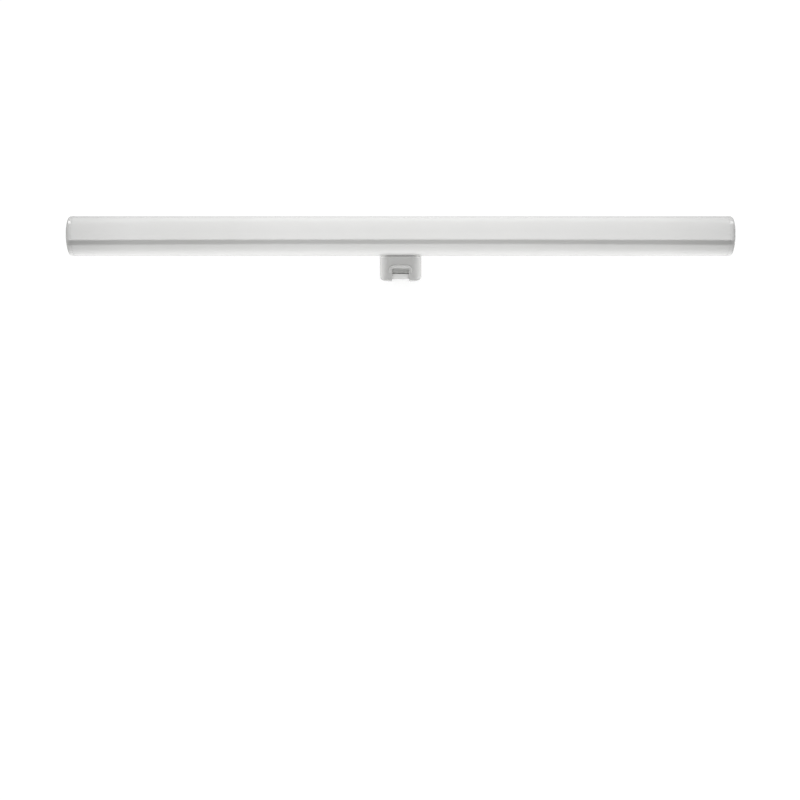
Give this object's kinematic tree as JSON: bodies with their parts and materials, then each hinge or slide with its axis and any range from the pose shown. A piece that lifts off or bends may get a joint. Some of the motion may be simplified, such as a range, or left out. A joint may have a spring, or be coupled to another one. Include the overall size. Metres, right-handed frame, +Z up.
{
  "type": "tubular light bulb",
  "caption": "Straight opal light tube with rounded end caps and one central oblong plug-in cap below, carrying flat contacts.",
  "frame": {"origin": "middle of the cap's feet, where the oblong cap ends at the bottom, below the middle of the tube", "axes": "+X along the tube, +Y towards the back, +Z up from the cap's feet to the tube"},
  "size_m": [0.5, 0.03, 0.0492],
  "materials": {
    "opal": "gloss",
    "cap_white": "gloss",
    "base_white": "satin",
    "contact_metal": "satin"
  },
  "bodies": {
    "root": {"opal_tube": "opal", "end_cap_left": "cap_white", "end_cap_right": "cap_white", "base_housing": "base_white", "contact_left": "contact_metal", "contact_right": "contact_metal"}
  },
  "joints": []
}
